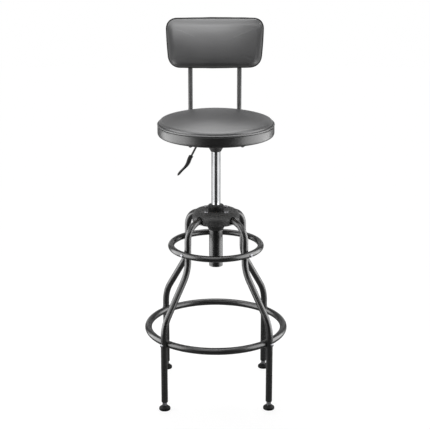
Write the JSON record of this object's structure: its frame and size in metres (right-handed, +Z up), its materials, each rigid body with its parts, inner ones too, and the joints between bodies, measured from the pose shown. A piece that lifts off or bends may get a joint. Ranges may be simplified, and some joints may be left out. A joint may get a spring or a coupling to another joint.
{
  "type": "shop stool with backrest",
  "caption": "Padded round swivel stool on a gas lift with a release lever, padded backrest, bent tube legs, foot rings and levelling feet.",
  "frame": {"origin": "on the floor, on the column axis", "axes": "+Z up, sitter faces -Y, backrest at +Y, release lever at -X"},
  "size_m": [0.448, 0.448, 1.162],
  "materials": {
    "frame_coat": "satin black powder coat",
    "hub_coat": "textured black coat",
    "under_seat_steel": "black coated steel",
    "zinc_screws": "bright zinc",
    "bright_steel": "plain steel",
    "chrome_tube": "mirror chrome",
    "black_plastic": "black moulded plastic",
    "bump_rubber": "black rubber",
    "board_wood": "plywood",
    "seat_vinyl": "smooth black vinyl over foam",
    "band_vinyl": "grained black vinyl"
  },
  "bodies": {
    "base": {"bearing_lower_washer": "bright_steel", "column_end_plate": "bright_steel", "column_tube": "frame_coat", "guide_bushing": "black_plastic", "hub_casting": "hub_coat", "hub_nuts": "zinc_screws", "hub_plate": "frame_coat", "hub_screws": "zinc_screws", "leg_back_left": "frame_coat", "leg_back_right": "frame_coat", "leg_front_left": "frame_coat", "leg_front_right": "frame_coat", "leg_inserts": "black_plastic", "lower_foot_ring": "frame_coat", "lower_ring_screws": "zinc_screws", "upper_foot_ring": "frame_coat", "upper_ring_rivet_nuts": "zinc_screws", "upper_ring_screws": "zinc_screws"},
    "bearing_cage": {"bearing_cage": "black_plastic", "bearing_balls": "bright_steel"},
    "spindle": {"piston_rod": "bright_steel", "gas_piston": "black_plastic", "bearing_upper_washer": "bright_steel", "retaining_clip": "bright_steel", "bump_stop": "bump_rubber"},
    "seat": {"gas_cylinder": "chrome_tube", "rod_guide": "black_plastic", "seat_socket": "under_seat_steel", "seat_plate": "under_seat_steel", "seat_plate_screws": "zinc_screws", "post_screws": "zinc_screws", "seat_tee_nuts": "zinc_screws", "lever_bracket": "under_seat_steel", "lever_pivot_pin": "bright_steel", "seat_board": "board_wood", "seat_band": "band_vinyl", "seat_piping": "band_vinyl", "seat_cushion": "seat_vinyl", "backrest_post_left": "under_seat_steel", "backrest_post_right": "under_seat_steel", "post_plugs": "black_plastic", "backrest_pad": "seat_vinyl", "backrest_board": "board_wood", "backrest_tee_nuts": "zinc_screws", "backrest_panel": "black_plastic", "backrest_screws": "zinc_screws"},
    "lever": {"lever_rod": "bright_steel", "lever_grip": "black_plastic"},
    "release_pin": {"release_pin": "bright_steel"},
    "foot_front_left": {"foot_pad_front_left": "black_plastic", "foot_stud_front_left": "bright_steel"},
    "foot_front_right": {"foot_pad_front_right": "black_plastic", "foot_stud_front_right": "bright_steel"},
    "foot_back_right": {"foot_pad_back_right": "black_plastic", "foot_stud_back_right": "bright_steel"},
    "foot_back_left": {"foot_pad_back_left": "black_plastic", "foot_stud_back_left": "bright_steel"}
  },
  "joints": [
    {"name": "seat_swivel", "type": "hinge", "parent": "base", "child": "spindle", "pos_m": [0, 0, 0.43], "axis": [0, 0, 1], "continuous": true},
    {"name": "bearing_roll", "type": "hinge", "parent": "base", "child": "bearing_cage", "pos_m": [0, 0, 0.43], "axis": [0, 0, 1], "continuous": true},
    {"name": "seat_lift", "type": "slide", "parent": "spindle", "child": "seat", "axis": [0, 0, 1], "range_m": [-0.12, 0]},
    {"name": "lever_lift", "type": "hinge", "parent": "seat", "child": "lever", "pos_m": [-0.022, 0, 0.821], "axis": [0, 1, 0], "range_deg": [0, 10], "stiffness_Nm_per_rad": 4},
    {"name": "pin_press", "type": "slide", "parent": "seat", "child": "release_pin", "axis": [0, 0, -1], "range_m": [0, 0.0042]},
    {"name": "level_front_left", "type": "slide", "parent": "base", "child": "foot_front_left", "axis": [0, 0, 1], "range_m": [-0.01, 0]},
    {"name": "level_front_right", "type": "slide", "parent": "base", "child": "foot_front_right", "axis": [0, 0, 1], "range_m": [-0.01, 0]},
    {"name": "level_back_right", "type": "slide", "parent": "base", "child": "foot_back_right", "axis": [0, 0, 1], "range_m": [-0.01, 0]},
    {"name": "level_back_left", "type": "slide", "parent": "base", "child": "foot_back_left", "axis": [0, 0, 1], "range_m": [-0.01, 0]}
  ],
  "couplings": [
    {"joint": "bearing_roll", "follows": "seat_swivel", "ratio": 0.5},
    {"joint": "pin_press", "follows": "lever_lift", "m_per_rad": 0.023}
  ]
}
